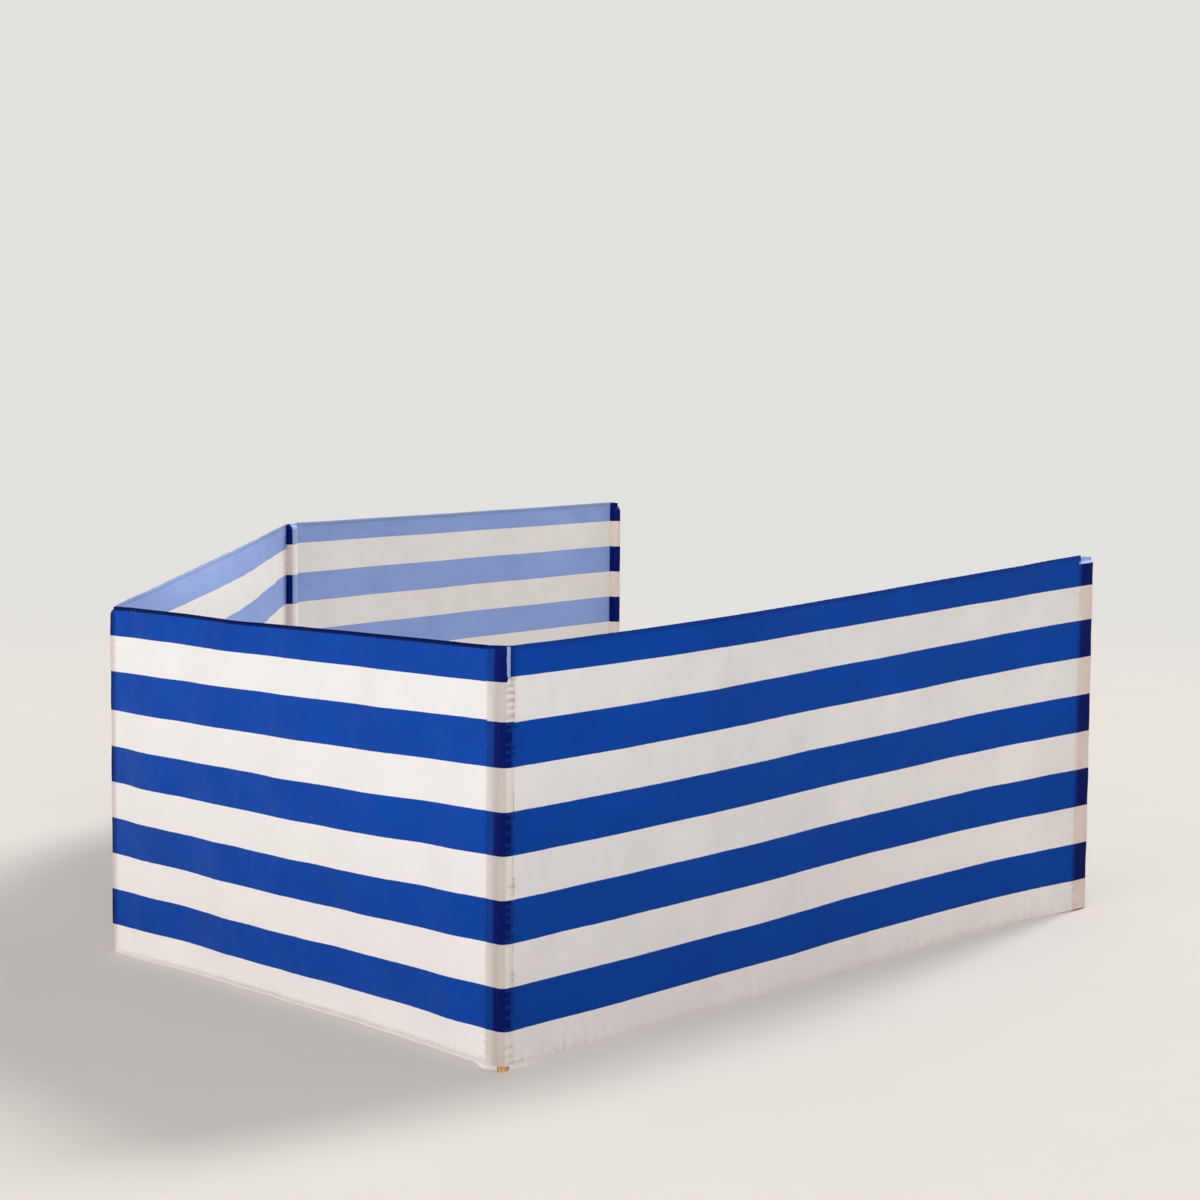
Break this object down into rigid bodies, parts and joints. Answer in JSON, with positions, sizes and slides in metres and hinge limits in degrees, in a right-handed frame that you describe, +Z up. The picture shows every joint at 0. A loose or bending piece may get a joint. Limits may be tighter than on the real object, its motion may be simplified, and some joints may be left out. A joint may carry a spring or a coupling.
{
  "type": "beach windbreak",
  "caption": "Low screen of striped cloth in bays, hung on upright wooden poles in sewn sleeves, standing in an open curve to keep off wind.",
  "frame": {"origin": "centre of the middle pole's flat foot, at the lowest ground that a pole stands on", "axes": "+Z up along the poles; +Y away from the viewer of the outer corner, across the enclosed ground; +X to that viewer's right"},
  "size_m": [2.1194, 3.9139, 0.9435],
  "materials": {
    "pole": "turned softwood dowel, clear and satin",
    "cloth": "coated thin weave with level stripes of royal blue and white, slightly glossy",
    "sleeve": "the same striped cloth in two layers, puckered at the seam",
    "hem": "the same striped cloth folded over and stitched"
  },
  "bodies": {
    "root": {"pole_1": "pole", "sleeve_1": "sleeve", "sleeve_cap_1": "sleeve", "pole_2": "pole", "sleeve_2": "sleeve", "sleeve_cap_2": "sleeve", "pole_3": "pole", "sleeve_3": "sleeve", "sleeve_cap_3": "sleeve", "pole_4": "pole", "sleeve_4": "sleeve", "sleeve_cap_4": "sleeve", "pole_5": "pole", "sleeve_5": "sleeve", "sleeve_cap_5": "sleeve", "panel_1": "cloth", "bottom_hem_1": "hem", "top_hem_1": "hem", "panel_2": "cloth", "bottom_hem_2": "hem", "top_hem_2": "hem", "panel_3": "cloth", "bottom_hem_3": "hem", "top_hem_3": "hem", "panel_4": "cloth", "bottom_hem_4": "hem", "top_hem_4": "hem"}
  },
  "joints": []
}
